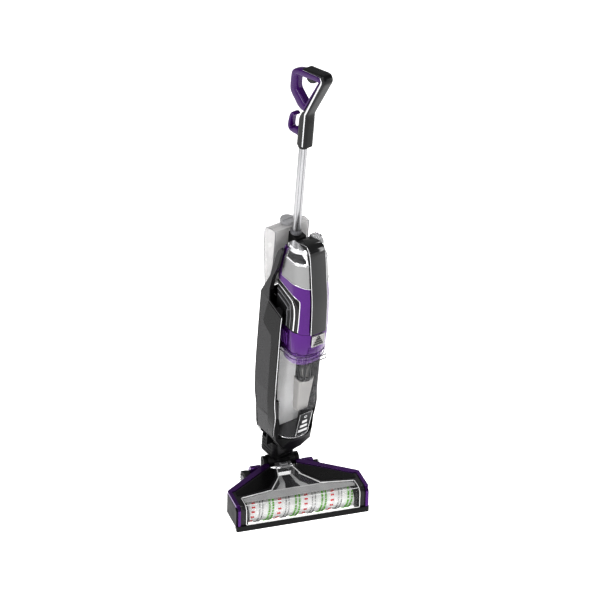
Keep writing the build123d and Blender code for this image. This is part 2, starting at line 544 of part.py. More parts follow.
with BuildPart() as pole_socket:
    block((-13, -12.2, 546), (13, 21.4, SOCKET_TOP))
    fillet(pole_socket.edges().filter_by(Axis.Z), 4)
    rod(Plane.XY, POLE_R + 0.02, 552, SOCKET_TOP + 1, at=(0, POLE_Y), mode=Mode.SUBTRACT)
keep("pole_socket", pole_socket, AT_BODY)

# ---------------------------------------------------------------- dirty water tank
TANK_LEVELS = [(TANK_FLOOR, 40, -9, -65.4), (236, 44.5, -9, -84), (370, 46, -9, -94)]
with BuildPart() as dirty_tank:
    bow_loft(TANK_LEVELS)
    side_slab([(-80, 332), (-108, 358), (-108, 370), (-80, 370)], -19, 19)
    bow_loft([(TANK_FLOOR + 2.5, 37.6, -11.5, -63), (236, 42, -11.5, -81.5), (371, 43.5, -11.5, -91.5)],
             mode=Mode.SUBTRACT)
    side_slab([(-80, 335.5), (-105.6, 359.4), (-105.6, 371), (-80, 371)], -16.6, 16.6,
              mode=Mode.SUBTRACT)
keep("dirty_tank", dirty_tank, AT_BODY)

with BuildPart() as tank_lid:
    bow_loft([(370.2, 45.6, -9, -94.6), (SEAM_Z - 0.4, 46.6, -9, -96)])
    bow_loft([(358, 42.6, -12.4, -90), (370.2, 42.6, -12.4, -90)])
    bow_loft([(357, 39.6, -15, -87), (SEAM_Z - 3.4, 42.6, -12.4, -92)], mode=Mode.SUBTRACT)
    with Locations(Location((0, -10, 395), (90, 0, 0))):
        Cylinder(8, 12, mode=Mode.SUBTRACT)
    rod(Plane.XY, 13.6, 420, 430, at=(0, -42), mode=Mode.SUBTRACT)
keep("tank_lid", tank_lid, AT_BODY)

with BuildPart() as lid_filter:
    bow_loft([(404, 38, -20, -82), (419, 38, -20, -82)])
    for row in range(9):
        side_y = -76 + 6.4 * row
        block((-36, side_y, 404), (36, side_y + 1.6, 415), mode=Mode.SUBTRACT)
keep("lid_filter", lid_filter, AT_BODY)

CAGE_Y = -60.0
with BuildPart() as float_cage:
    rod(Plane.XY, 19, 281, 402, at=(0, CAGE_Y))
    rod(Plane.XY, 16, 284, 400, at=(0, CAGE_Y), mode=Mode.SUBTRACT)
    with Locations((0, CAGE_Y, 316)):
        with PolarLocations(18, 10):
            Box(8, 5, 52, mode=Mode.SUBTRACT)
keep("float_cage", float_cage, AT_BODY)

with BuildPart() as tank_float:
    rod(Plane.XY, 13, 285, 315, at=(0, CAGE_Y))
    fillet(tank_float.edges().filter_by(GeomType.CIRCLE), 5)
keep("tank_float", tank_float, AT_BODY)

with BuildPart() as strainer_cup:
    with BuildSketch(Plane.XY.offset(192)):
        with Locations((0, CAGE_Y + 4)):
            RectangleRounded(30, 20, 5)
    with BuildSketch(Plane.XY.offset(280.6)):
        with Locations((0, CAGE_Y)):
            RectangleRounded(40, 28, 6)
    loft()
keep("strainer_cup", strainer_cup, AT_BODY)

with BuildPart() as tank_badge:
    side_slab([(-67, 122), (-78.4, 192), (-79.8, 192), (-68.4, 122)], -17, 17)
keep("tank_badge", tank_badge, AT_BODY)

with BuildPart() as name_badge:
    block((-17, -98.4, 393), (17, -96.2, 423))
keep("name_badge", name_badge, AT_BODY)

# ---------------------------------------------------------------- clean water tank
CLEAN_SIDE = [(37, 483), (47, 483), (51, 508), (62, 596), (63, 622), (58, 633), (37, 640), (24, 640),
              (24, 556), (30, 520)]
with BuildPart() as clean_tank:
    side_slab(CLEAN_SIDE, -45, 45)
    fillet(clean_tank.edges().filter_by(Axis.Z).group_by(Axis.Y)[0], 3)
    side_slab(CLEAN_SIDE, -42.6, 42.6, mode=Mode.SUBTRACT, inset=2.4)
    rod(Plane.XY, 13.6, 630, 645, at=(0, 43), mode=Mode.SUBTRACT)
keep("clean_tank", clean_tank, AT_BODY)

with BuildPart() as clean_tank_cap:
    rod(Plane.XY, 16, 640.3, 649, at=(0, 43))
    rod(Plane.XY, 13.5, 630, 640.3, at=(0, 43))
    rod(Plane.XY, 11, 629, 645, at=(0, 43), mode=Mode.SUBTRACT)
    with Locations((0, 43, 649)):
        Box(28, 5, 6)
keep("clean_tank_cap", clean_tank_cap, AT_BODY)

# ---------------------------------------------------------------- pole and handle
with BuildPart() as pole:
    rod(Plane.XY, POLE_R, 553, 885, at=(0, POLE_Y))
    rod(Plane.XY, POLE_R - 1.5, 550, 890, at=(0, POLE_Y), mode=Mode.SUBTRACT)
keep("pole", pole, AT_BODY)

SPINE_SIDE = [(21, HANDLE_LOW), (-10, HANDLE_LOW + 4), (-10, 930), (-8, 952), (-57, 1058), (-58, 1066),
              (-53, 1073), (-44, 1075), (18, 1057.5), (17.2, 1054.4), (-39.5, 1069), (-44.6, 1064.4),
              (-42, 1056), (4, 956), (20, 942)]
GRIP_SIDE = [(20.3, 948.5), (54, 972.5), (61, 983), (61, 1022), (57, 1033), (47, 1041.5), (17, 1054),
             (-39.4, 1068.5), (-44.1, 1064.3), (-41.4, 1056.2), (4.4, 956.4)]
with BuildPart() as handle_spine:
    side_slab(SPINE_SIDE, -HANDLE_HALF, HANDLE_HALF)
    rod(Plane.XY, POLE_R + 0.02, 850, 886, at=(0, POLE_Y), mode=Mode.SUBTRACT)
    block((-5.4, 17, 914.6), (5.4, 30, 929.4), mode=Mode.SUBTRACT)
    rod(Plane.XZ, 4 + RUN, -40, -14, at=(0, 893), mode=Mode.SUBTRACT)
keep("handle_spine", handle_spine, AT_BODY)

with BuildPart() as handle_grip:
    side_slab(GRIP_SIDE, -GRIP_HALF, GRIP_HALF)
    side_slab([(-34, 1050), (40, 1028), (38, 996), (4, 972)], -20, 20, mode=Mode.SUBTRACT)
    side_slab([(-24, 1052), (14, 1048), (14, 1020), (-24, 1040)], -7.5, 7.5, mode=Mode.SUBTRACT)
keep("handle_grip", handle_grip, AT_BODY)

with BuildPart() as handle_trims:
    for side in (-1, 1):
        near, far = sorted((side * HANDLE_HALF, side * (HANDLE_HALF + 1)))
        side_slab([(-1, 870), (-5, 870), (-5, 951), (-50.5, 1057), (-50.5, 1064), (-45, 1070.5),
                   (16, 1056.4), (16, 1055.4), (-42, 1069), (-46.4, 1063.6), (-46, 1058), (-1, 953)],
                  near, far)
keep("handle_trims", handle_trims, AT_BODY)

TRIGGER_Y, TRIGGER_Z = -19.0, 1045.0
with BuildPart() as trigger:
    side_slab([(-22, 1047), (11, 1039.5), (9, 1033), (-4, 1031), (-17, 1038)], -7, 7)
    rod(Plane.YZ, 1.6, -8, 8, at=(TRIGGER_Y, TRIGGER_Z - 3), mode=Mode.SUBTRACT)
keep("trigger", trigger, AT_BODY)

with BuildPart() as cord_wrap:
    side_slab([(21.4, 880), (48, 875), (57, 881), (57, 893), (52, 926), (41, 930), (37, 924), (45, 922),
               (48, 897), (21.4, 903)], -9, 9)
    rod(Plane.XZ, 4, -22, -15, at=(0, 893))
keep("cord_wrap", cord_wrap, AT_BODY)

with BuildPart() as power_button:
    block((-5, 19.5, 915), (5, 23, 929))
keep("power_button", power_button, AT_BODY)

# ================================================================ origin and files
ground = [piece.bounding_box(optimal=True) for piece in pieces.values()]
low = [min(getattr(box.min, axis) for box in ground) for axis in "XYZ"]
high = [max(getattr(box.max, axis) for box in ground) for axis in "XYZ"]
SHIFT = Location((-(low[0] + high[0]) / 2, -(low[1] + high[1]) / 2, -low[2]))

os.makedirs("parts", exist_ok=True)
for name, piece in pieces.items():
    placed = SHIFT * piece
    placed.label = name
    export_step(placed, f"parts/{name}.step")
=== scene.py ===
"""Looks of the upright washer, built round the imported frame.

Every piece is drawn in millimetres in one of two local frames, the foot's or the upright's, and then
moved to its place in the row frame in metres. X runs across, y runs to the rear and z runs up; the
x axis goes through the recline pivot.
"""
import json
import math
import random

import bmesh
import bpy
from mathutils import Matrix, Vector


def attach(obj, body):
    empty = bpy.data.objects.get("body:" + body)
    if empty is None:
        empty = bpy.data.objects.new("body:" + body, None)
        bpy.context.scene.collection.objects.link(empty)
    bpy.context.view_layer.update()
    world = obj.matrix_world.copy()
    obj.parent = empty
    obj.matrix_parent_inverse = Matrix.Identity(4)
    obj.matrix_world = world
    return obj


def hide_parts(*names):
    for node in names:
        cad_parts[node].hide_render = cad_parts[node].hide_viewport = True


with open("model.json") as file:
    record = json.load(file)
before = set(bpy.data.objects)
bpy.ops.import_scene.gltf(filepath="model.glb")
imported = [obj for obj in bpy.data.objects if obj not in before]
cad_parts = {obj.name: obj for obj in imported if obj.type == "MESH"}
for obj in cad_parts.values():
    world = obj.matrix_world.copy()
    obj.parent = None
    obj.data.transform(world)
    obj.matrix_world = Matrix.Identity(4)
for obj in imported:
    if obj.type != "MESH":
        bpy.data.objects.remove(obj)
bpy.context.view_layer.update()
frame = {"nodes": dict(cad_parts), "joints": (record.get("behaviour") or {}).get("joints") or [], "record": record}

# ---------------------------------------------------------------- local frames
JOINT = {joint["name"]: joint for joint in frame["joints"]}


def local_frame(origin, x_axis, y_axis, z_axis):
    """The matrix that takes millimetres in a local frame to metres in the row frame."""
    turn = Matrix((x_axis, y_axis, z_axis)).transposed().to_4x4()
    return Matrix.Translation(origin) @ turn @ Matrix.Scale(0.001, 4)


pivot = Vector(JOINT["recline"]["pos_m"])
FOOT = local_frame((pivot.x, pivot.y, 0), Vector((1, 0, 0)), Vector((0, 1, 0)), Vector((0, 0, 1)))
lean_axis = Vector(JOINT["clean_tank_lift"]["axis"])
back_axis = -Vector(JOINT["dirty_tank_pull"]["axis"])
BODY = local_frame(pivot, back_axis.cross(lean_axis), back_axis, lean_axis)

# ---------------------------------------------------------------- camera
VIEW_TURN, VIEW_RISE, VIEW_ROLL = math.radians(-19.1), math.radians(29.3), math.radians(1.5)
VIEW_FAR = 8.0
aim = Vector((pivot.x, pivot.y - 0.05, 0.55))
back = Vector((math.sin(VIEW_TURN) * math.cos(VIEW_RISE), -math.cos(VIEW_TURN) * math.cos(VIEW_RISE),
               math.sin(VIEW_RISE)))
right = Vector((math.cos(VIEW_TURN), math.sin(VIEW_TURN), 0))
up = back.cross(right)
cam_x = right * math.cos(VIEW_ROLL) + up * math.sin(VIEW_ROLL)
cam_y = up * math.cos(VIEW_ROLL) - right * math.sin(VIEW_ROLL)
camera_data = bpy.data.cameras.new("camera")
camera_data.lens = 218.9
camera_data.shift_x = 0.0138
camera_data.shift_y = -0.03
camera_data.clip_end = 50
camera = bpy.data.objects.new("camera", camera_data)
camera.matrix_world = (Matrix.Translation(aim + back * VIEW_FAR)
                       @ Matrix((cam_x, cam_y, back)).transposed().to_4x4())
bpy.context.scene.collection.objects.link(camera)
bpy.context.scene.camera = camera


# ---------------------------------------------------------------- stage and light
def area_light(name, at, size, power, target=(0, 0, 0.5), size_y=None):
    """A soft rectangular light that faces a target."""
    data = bpy.data.lights.new(name, "AREA")
    data.shape = "RECTANGLE"
    data.size = size
    data.size_y = size_y or size
    data.energy = power
    lamp = bpy.data.objects.new(name, data)
    lamp.location = at
    lamp.rotation_euler = (Vector(target) - Vector(at)).to_track_quat("-Z", "Y").to_euler()
    bpy.context.scene.collection.objects.link(lamp)


area_light("key", (-2.1, -1.3, 1.9), 0.7, 46, size_y=2.0)
area_light("fill", (2.3, -1.4, 1.2), 0.5, 20, size_y=1.8)
area_light("front", (-0.5, -3.0, 1.1), 0.25, 14, size_y=2.2)
area_light("top", (-0.3, -0.4, 3.0), 1.2, 22)
area_light("rear", (1.6, 2.4, 2.6), 0.8, 12)
world = bpy.data.worlds.new("studio")
world.use_nodes = True
world.node_tree.nodes["Background"].inputs["Color"].default_value = (1, 1, 1, 1)
world.node_tree.nodes["Background"].inputs["Strength"].default_value = 0.28
bpy.context.scene.world = world
bpy.context.scene.view_settings.view_transform = "Standard"
bpy.context.scene.view_settings.gamma = 0.8


# ---------------------------------------------------------------- materials
def new_material(name):
    """An empty node material and its shader."""
    material = bpy.data.materials.new(name)
    material.use_nodes = True
    shader = material.node_tree.nodes["Principled BSDF"]
    return material, material.node_tree, shader


def noise(tree, scale, detail=3.0, stretch=(1, 1, 1), rough=0.5):
    """A noise texture in object space, in cycles per metre, stretched along the axes."""
    place = tree.nodes.new("ShaderNodeTexCoord")
    mapping = tree.nodes.new("ShaderNodeMapping")
    mapping.inputs["Scale"].default_value = stretch
    texture = tree.nodes.new("ShaderNodeTexNoise")
    texture.inputs["Scale"].default_value = scale
    texture.inputs["Detail"].default_value = detail
    texture.inputs["Roughness"].default_value = rough
    tree.links.new(place.outputs["Object"], mapping.inputs["Vector"])
    tree.links.new(mapping.outputs["Vector"], texture.inputs["Vector"])
    return texture


def remap(tree, value, low, high):
    """Map a noise value's middle range to low..high."""
    node = tree.nodes.new("ShaderNodeMapRange")
    node.inputs["From Min"].default_value = 0.25
    node.inputs["From Max"].default_value = 0.75
    node.inputs["To Min"].default_value = low
    node.inputs["To Max"].default_value = high
    tree.links.new(value, node.inputs["Value"])
    return node.outputs["Result"]


def tint(tree, shader, factor, dark, light):
    """Base colour between two tones."""
    mix = tree.nodes.new("ShaderNodeMix")
    mix.data_type = "RGBA"
    mix.inputs["A"].default_value = (*dark, 1)
    mix.inputs["B"].default_value = (*light, 1)
    tree.links.new(factor, mix.inputs["Factor"])
    tree.links.new(mix.outputs["Result"], shader.inputs["Base Color"])


def bump(tree, shader, height, strength, distance=0.0004):
    """Fine relief from a height value."""
    node = tree.nodes.new("ShaderNodeBump")
    node.inputs["Strength"].default_value = strength
    node.inputs["Distance"].default_value = distance
    tree.links.new(height, node.inputs["Height"])
    tree.links.new(node.outputs["Normal"], shader.inputs["Normal"])


def moulded(name, colour, rough=0.4, grain=2600, relief=0.15, coat=0.0, metallic=0.0, vary=0.12,
            coat_rough=0.08, specular=0.5):
    """Moulded or painted plastic: faint colour drift, uneven gloss and a fine surface grain."""
    material, tree, shader = new_material(name)
    drift = noise(tree, 14, 4)
    tint(tree, shader, remap(tree, drift.outputs["Fac"], 0, 1),
         [c * (1 - vary) for c in colour], [min(1, c * (1 + vary)) for c in colour])
    smudge = noise(tree, 60, 6)
    tree.links.new(remap(tree, smudge.outputs["Fac"], rough * 0.85, rough * 1.15),
                   shader.inputs["Roughness"])
    bump(tree, shader, noise(tree, grain, 2).outputs["Fac"], relief, 0.0002)
    shader.inputs["Metallic"].default_value = metallic
    shader.inputs["Coat Weight"].default_value = coat
    shader.inputs["Coat Roughness"].default_value = coat_rough
    shader.inputs["Specular IOR Level"].default_value = specular
    return material


def brushed(name, colour, rough=0.3, stretch=(1, 1, 40), lines=60):
    """Brushed metal: long fine streaks in the gloss and the relief."""
    material, tree, shader = new_material(name)
    streak = noise(tree, lines, 8, stretch, 0.7)
    tint(tree, shader, remap(tree, streak.outputs["Fac"], 0, 1), [c * 0.85 for c in colour], colour)
    tree.links.new(remap(tree, streak.outputs["Fac"], rough * 0.75, rough * 1.3),
                   shader.inputs["Roughness"])
    bump(tree, shader, streak.outputs["Fac"], 0.12, 0.0002)
    shader.inputs["Metallic"].default_value = 1.0
    shader.inputs["Anisotropic"].default_value = 0.5
    return material


def clear(name, colour, rough=0.04, alpha=0.25, relief=0.08, scale=40):
    """Clear or frosted plastic as a thin see-through skin with its own gloss."""
    material, tree, shader = new_material(name)
    haze = noise(tree, scale, 5)
    tint(tree, shader, remap(tree, haze.outputs["Fac"], 0, 1), [c * 0.94 for c in colour], colour)
    tree.links.new(remap(tree, haze.outputs["Fac"], rough * 0.6, rough * 1.6),
                   shader.inputs["Roughness"])
    bump(tree, shader, haze.outputs["Fac"], relief, 0.0006)
    tree.links.new(remap(tree, haze.outputs["Fac"], alpha * 0.92, alpha * 1.08), shader.inputs["Alpha"])
    shader.inputs["IOR"].default_value = 1.5
    shader.inputs["Coat Weight"].default_value = 0.4
    return material


MATERIALS = {
    "black_plastic": moulded("black_plastic", (0.004, 0.004, 0.0045), 0.42, relief=0.2, specular=0.25),
    "dark_grey_plastic": moulded("dark_grey_plastic", (0.02, 0.0192, 0.021), 0.26, specular=0.35,
                                 relief=0.03),
    "gloss_grey": moulded("gloss_grey", (0.012, 0.012, 0.013), 0.13, relief=0.03, coat=0.3),
    "handle_black": moulded("handle_black", (0.005, 0.005, 0.006), 0.3, specular=0.35),
    "purple_gloss": moulded("purple_gloss", (0.08, 0.006, 0.165), 0.24, relief=0.03, coat=0.5,
                            metallic=0.75, coat_rough=0.05),
    "purple_matte": moulded("purple_matte", (0.036, 0.003, 0.085), 0.42, specular=0.15),
    "brushed_silver": brushed("brushed_silver", (0.3, 0.3, 0.3), 0.24),
    # Silver trim; on the shell edges, the drum rim and one vent rib it is a painted highlight.
    "silver_gloss": moulded("silver_gloss", (0.66, 0.66, 0.67), 0.2, relief=0.03, metallic=0.85,
                            vary=0.03, coat=0.3),
    "pole_metal": brushed("pole_metal", (0.5, 0.5, 0.51), 0.3, (60, 60, 1), 8),
    "clear_plastic": clear("clear_plastic", (0.3, 0.3, 0.31), 0.03, 0.08),
    "frosted_plastic": clear("frosted_plastic", (0.7, 0.69, 0.69), 0.2, 0.55, 0.02, 30),
    "cap_plastic": moulded("cap_plastic", (0.35, 0.35, 0.36), 0.35),
    "light_grey_plastic": moulded("light_grey_plastic", (0.42, 0.41, 0.40), 0.4),
    "badge_grey": moulded("badge_grey", (0.42, 0.41, 0.40), 0.3, relief=0.04, specular=0.3),
    "rubber": moulded("rubber", (0.014, 0.014, 0.014), 0.7, 1800, 0.4),
    "brush_tube": moulded("brush_tube", (0.55, 0.55, 0.55), 0.45),
    "pile_fibre": moulded("pile_fibre", (0.75, 0.74, 0.73), 0.9, 4000, 0.6),
    "pulley_plastic": moulded("pulley_plastic", (0.6, 0.6, 0.55), 0.4),
    "steel": brushed("steel", (0.5, 0.5, 0.5), 0.35, (40, 1, 1)),
    "hose_plastic": moulded("hose_plastic", (0.2, 0.2, 0.2), 0.45),
    "pump_plastic": moulded("pump_plastic", (0.7, 0.7, 0.66), 0.4),
    "board": moulded("board", (0.02, 0.12, 0.05), 0.4, 900, 0.3),
    "filter_foam": moulded("filter_foam", (0.6, 0.58, 0.52), 0.95, 3000, 0.8),
    "purple_handle": moulded("purple_handle", (0.045, 0.003, 0.10), 0.26, specular=0.4),
    "gloss_black": moulded("gloss_black", (0.005, 0.005, 0.006), 0.2, relief=0.04, coat=0.2),
    # Near black: the foot's cover insets in their own colour, and painted shade on the shells' front facets.
    "near_black_and_painted_shade": moulded("near_black_and_painted_shade", (0.004, 0.0038, 0.0042), 0.26, specular=0.2),
    # Grey for the clean tank's moulded outline, and for painted reflection lines on the pole.
    "seam_and_reflection_grey": moulded("seam_and_reflection_grey", (0.2, 0.2, 0.21), 0.4),
    # Grey for the pole collar and the wheel hubs; on the vent ribs it is a painted highlight.
    "grey_plastic_and_painted_highlight": moulded("grey_plastic_and_painted_highlight", (0.14, 0.14, 0.15), 0.35),
    "film": clear("film", (0.85, 0.85, 0.85), 0.15, 0.5, 0.03, 30),
    "collar_film": clear("collar_film", (0.2, 0.03, 0.4), 0.1, 0.6, 0.03, 30),
    "badge_dark": moulded("badge_dark", (0.03, 0.03, 0.031), 0.3, relief=0.04),
    "white_rim": moulded("white_rim", (0.8, 0.8, 0.8), 0.25, coat=0.4, relief=0.04),
    "white_nap": moulded("white_nap", (0.86, 0.86, 0.85), 0.95, 2600, 0.9),
    "tuft_green": moulded("tuft_green", (0.13, 0.46, 0.02), 0.7, 3000, 0.5),
    "tuft_red": moulded("tuft_red", (0.68, 0.015, 0.02), 0.7, 3000, 0.5),
    "tuft_grey": moulded("tuft_grey", (0.16, 0.16, 0.16), 0.7, 3000, 0.5),
}
OWN_LOOK = {"tank_badge": "badge_dark", "float_cage": "gloss_black"}
slot_of = {row["node"]: row["material_slot"] for row in frame["record"]["subparts"]}
for node_name, node in frame["nodes"].items():
    node.data.materials.clear()
    node.data.materials.append(MATERIALS[OWN_LOOK.get(node_name, slot_of[node_name])])

# ---------------------------------------------------------------- mesh helpers (local millimetres)
def piece(name, bm, where, body, slot, finish=None, bevel=0.0, sharp=32, replaces=()):
    """Turn a bmesh in a local frame into a piece that rides on a body."""
    bmesh.ops.recalc_face_normals(bm, faces=bm.faces)
    mesh = bpy.data.meshes.new(name)
    bm.to_mesh(mesh)
    bm.free()
    mesh.transform(where)
    mesh.materials.append(MATERIALS[finish or slot])
    mesh.shade_smooth()
    mesh.set_sharp_from_angle(angle=math.radians(sharp))
    made = bpy.data.objects.new(name, mesh)
    bpy.context.scene.collection.objects.link(made)
    if bevel:
        round_edges(made, bevel)
    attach(made, body)
    if replaces:
        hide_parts(*replaces)
    return made


def round_edges(thing, width, segments=3, angle=30):
    """Soften the sharp edges of an object by a width in millimetres."""
    bevel = thing.modifiers.new("edges", "BEVEL")
    bevel.width = width * 0.001
    bevel.segments = segments
    bevel.limit_method = "ANGLE"
    bevel.angle_limit = math.radians(angle)
    bevel.use_clamp_overlap = True
    bevel.harden_normals = True


AXES = {"x": (1, 2, 0), "y": (0, 2, 1), "z": (0, 1, 2)}


def prism(bm, outline, low, high, axis="x"):
    """Extrude a 2-D outline along an axis: (y, z) along x, (x, z) along y, (x, y) along z."""
    first, second, third = AXES[axis]

    def corner(point, level):
        place = [0.0, 0.0, 0.0]
        place[first], place[second], place[third] = point[0], point[1], level
        return bm.verts.new(place)

    lower = [corner(point, low) for point in outline]
    upper = [corner(point, high) for point in outline]
    bm.faces.new(lower)
    bm.faces.new(reversed(upper))
    for k in range(len(outline)):
        after = (k + 1) % len(outline)
        bm.faces.new((lower[k], lower[after], upper[after], upper[k]))
    return bm


def loft(bm, rings, closed=False, caps=True):
    """Join rings of the same number of points into a skin."""
    rows = [[bm.verts.new(point) for point in ring] for ring in rings]
    count = len(rows[0])
    pairs = list(zip(rows, rows[1:]))
    if closed:
        pairs.append((rows[-1], rows[0]))
    for lower, upper in pairs:
        for k in range(count):
            after = (k + 1) % count
            bm.faces.new((lower[k], lower[after], upper[after], upper[k]))
    if caps and not closed:
        bm.faces.new(rows[0])
        bm.faces.new(reversed(rows[-1]))
    return bm


def spline(points, steps=4, closed=False):
    """Points of a smooth curve through given points of any dimension (Catmull-Rom)."""
    count = len(points)
    fine = []
    for k in range(count if closed else count - 1):
        if closed:
            quad = [points[(k + shift) % count] for shift in (-1, 0, 1, 2)]
        else:
            quad = [points[min(max(k + shift, 0), count - 1)] for shift in (-1, 0, 1, 2)]
        for step in range(steps):
            t = step / steps
            fine.append(tuple(
                0.5 * (2 * b + (c - a) * t + (2 * a - 5 * b + 4 * c - d) * t * t
                       + (3 * b - a - 3 * c + d) * t ** 3)
                for a, b, c, d in zip(*quad)))
    if not closed:
        fine.append(tuple(points[-1]))
    return fine


def rounded(power, count=28):
    """The unit points of a rounded square: power 2 is a circle, higher is squarer."""
    ring = []
    for k in range(count):
        turn = 2 * math.pi * (k + 0.5) / count
        c, s = math.cos(turn), math.sin(turn)
        ring.append((math.copysign(abs(c) ** (2 / power), c), math.copysign(abs(s) ** (2 / power), s)))
    return ring


def band(bm, stations, half, power=5, closed=False, steps=5):
    """A side-plane bar of rounded section, from stations (outer y, outer z, inner y, inner z)."""
    rings = []
    for outer_y, outer_z, inner_y, inner_z in spline(stations, steps, closed):
        centre_y, centre_z = (outer_y + inner_y) / 2, (outer_z + inner_z) / 2
        reach_y, reach_z = (outer_y - inner_y) / 2, (outer_z - inner_z) / 2
        rings.append([(half * a, centre_y + reach_y * b, centre_z + reach_z * b)
                      for a, b in rounded(power)])
    return loft(bm, rings, closed)


def tube(bm, points, radius, sides=8, closed=False):
    """A thin round rod along 3-D points."""
    path = [Vector(point) for point in points]
    rings = []
    normal = None
    for k, here in enumerate(path):
        before = path[k - 1] if k or closed else here
        after = path[(k + 1) % len(path)] if k + 1 < len(path) or closed else here
        along = (after - before).normalized()
        if normal is None:
            normal = along.orthogonal().normalized()
        normal = (normal - along * normal.dot(along)).normalized()
        across = along.cross(normal)
        rings.append([here + radius * (math.cos(2 * math.pi * j / sides) * normal
                                       + math.sin(2 * math.pi * j / sides) * across)
                      for j in range(sides)])
    return loft(bm, rings, closed)


def disc(bm, centre, axis, profile, sides=48):
    """A turned solid: profile is (distance along the axis, radius) from one end to the other."""
    first, second, third = AXES[axis]
    rings = []
    for along, radius in profile:
        ring = []
        for k in range(sides):
            place = [0.0, 0.0, 0.0]
            place[first] = centre[first] + radius * math.cos(2 * math.pi * k / sides)
            place[second] = centre[second] + radius * math.sin(2 * math.pi * k / sides)
            place[third] = centre[third] + along
            ring.append(place)
        rings.append(ring)
    return loft(bm, rings)


# ---------------------------------------------------------------- the carried-over CAD pieces
EDGE_WIDTH = {"left_shell": 2.2, "right_shell": 2.2, "lower_nose": 2.0, "neck_fairing": 3.0,
              "foot_trims": 1.2, "foot_cover_left": 1.2, "foot_cover_right": 1.2, "side_skirts": 2.0,
              "wheel_covers": 2.5, "carry_handle": 1.6, "front_strip": 0.9, "pole_socket": 2.0,
              "lower_cord_hook": 1.4, "clean_tank": 2.2, "brush_window": 0.8, "name_badge": 0.8,
              "tank_badge": 0.5, "rear_cover": 1.0, "strainer_cup": 1.5, "front_bumper": 0.8}
for node_name, node in frame["nodes"].items():
    weld = node.modifiers.new("weld", "WELD")
    weld.merge_threshold = 0.00002
    round_edges(node, EDGE_WIDTH.get(node_name, 0.4), 2)


# ---------------------------------------------------------------- handle
HANDLE_HALF, GRIP_HALF = 12.5, 11.0


def build_handle():
    """The dark spine, the faceted loop, its trigger slot lip and the moulded grip lines."""
    spine = [(-10, 868, 21, 864), (-10, 900, 20.6, 900), (-10, 930, 20.2, 930), (-8.4, 949, 12, 950),
             (-14, 965, 1, 963), (-32, 1004, -18, 1003), (-50, 1043, -36, 1043),
             (-57.6, 1061, -43, 1059), (-54, 1071.5, -43.6, 1065.5), (-44, 1075, -39.5, 1069.5),
             (-20, 1068.4, -20, 1064.5), (18, 1057.5, 17.2, 1054.8)]
    bm = band(bmesh.new(), spine, HANDLE_HALF, power=4.5)
    piece("handle_spine_skin", bm, BODY, "upright", "handle_black", sharp=50,
          replaces=("handle_spine",))
    loop = [(9, 953.5, 4, 973), (28, 954.5, 15, 979.5), (42, 964.4, 28, 988), (54, 973.4, 37, 994.6),
            (60.6, 984, 39.6, 1003), (60.8, 1014, 40, 1020), (58, 1030, 39, 1028.4),
            (47, 1040.6, 33, 1030.4), (26, 1050.2, 18, 1034.6), (0, 1058, -6, 1041.7),
            (-30, 1065.7, -27, 1048), (-43.4, 1063, -33.5, 1049), (-40, 1053, -31, 1044),
            (-20, 1009.8, -14, 1009), (0, 966.5, 0.8, 980)]
    bm = band(bmesh.new(), loop, GRIP_HALF, power=3.4, closed=True)
    piece("handle_loop_skin", bm, BODY, "upright", "purple_matte", "purple_handle", sharp=50,
          replaces=("handle_grip",))
    lens = [(-21.5, 1046.5), (-10, 1044.4), (10.6, 1039.2), (8.6, 1033.2), (2, 1031.2), (-5, 1031.4),
            (-16.4, 1037.6)]
    bm = prism(bmesh.new(), lens, -6.8, 6.8)
    piece("trigger_blade", bm, BODY, "trigger", "handle_black", bevel=2.2, replaces=("trigger",))
    for row in range(4):
        bm = tube(bmesh.new(), [(x, -3 + 3.2 * row, 1031.2 + 0.5 * row) for x in (-5, 5)], 0.45)
        piece("trigger_rib_%d" % row, bm, BODY, "trigger", "handle_black")
    hook = [(22, 891, 20), (30, 890, 19), (40, 886, 14), (50, 884.5, 10.5), (55, 890, 9),
            (54.6, 903, 7.6), (51, 920, 7), (45, 927, 6), (39.5, 924.4, 4)]
    rings = []
    fine = spline(hook, 4)
    for k, (y, z, deep) in enumerate(fine):
        before, after = fine[max(k - 1, 0)], fine[min(k + 1, len(fine) - 1)]
        along = Vector((0, after[0] - before[0], after[1] - before[1])).normalized()
        across = Vector((1, 0, 0)).cross(along)
        rings.append([Vector((8.8 * a, y, z)) + across * (deep / 2 * b) for a, b in rounded(3.5, 20)])
    piece("cord_wrap_skin", loft(bmesh.new(), rings), BODY, "cord_hook", "purple_matte",
          "purple_handle", sharp=50, replaces=("cord_wrap",))
    bm = disc(bmesh.new(), (0, 0, 893), "y", [(14.6, 3.8), (21.5, 3.8), (21.6, 8.4), (23.4, 8.4),
                                              (24, 7.4)], 32)
    piece("cord_wrap_boss", bm, BODY, "cord_hook", "purple_matte", "purple_handle", sharp=40)
    rings = [[(4.8 * a * k, 19.5 + y, 922 + 6.8 * b * k) for a, b in rounded(3, 24)]
             for y, k in ((0, 1), (2.6, 1), (3.3, 0.88), (3.0, 0.6))]
    piece("power_button_cap", loft(bmesh.new(), rings), BODY, "button", "purple_matte",
          "purple_handle", sharp=40, replaces=("power_button",))


build_handle()


# ---------------------------------------------------------------- upper body
def cover_front(z):
    """Front y of the upper covers at height z."""
    levels = [(426, -96), (506, -91), (598, -75)]
    for (low_z, low_y), (high_z, high_y) in zip(levels, levels[1:]):
        if z <= high_z:
            return low_y + (high_y - low_y) * (z - low_z) / (high_z - low_z)
    return levels[-1][1]


def cover_half(z):
    """Half width of the upper covers at height z."""
    return 47 - 2 * (z - 426) / 172


def on_cover(y, z, side=-1, lift=0.0):
    """The point of the upper covers' outer face at a side-view position, lifted off it."""
    half, front = cover_half(z), cover_front(z)
    shoulder = front + 0.8 * half
    if y >= shoulder:
        return (side * (half + lift), y, z)
    share = min((shoulder - y) / (shoulder - front + lift), 1)
    return (side * (half + lift) * math.sqrt(1 - share ** 2), y, z)


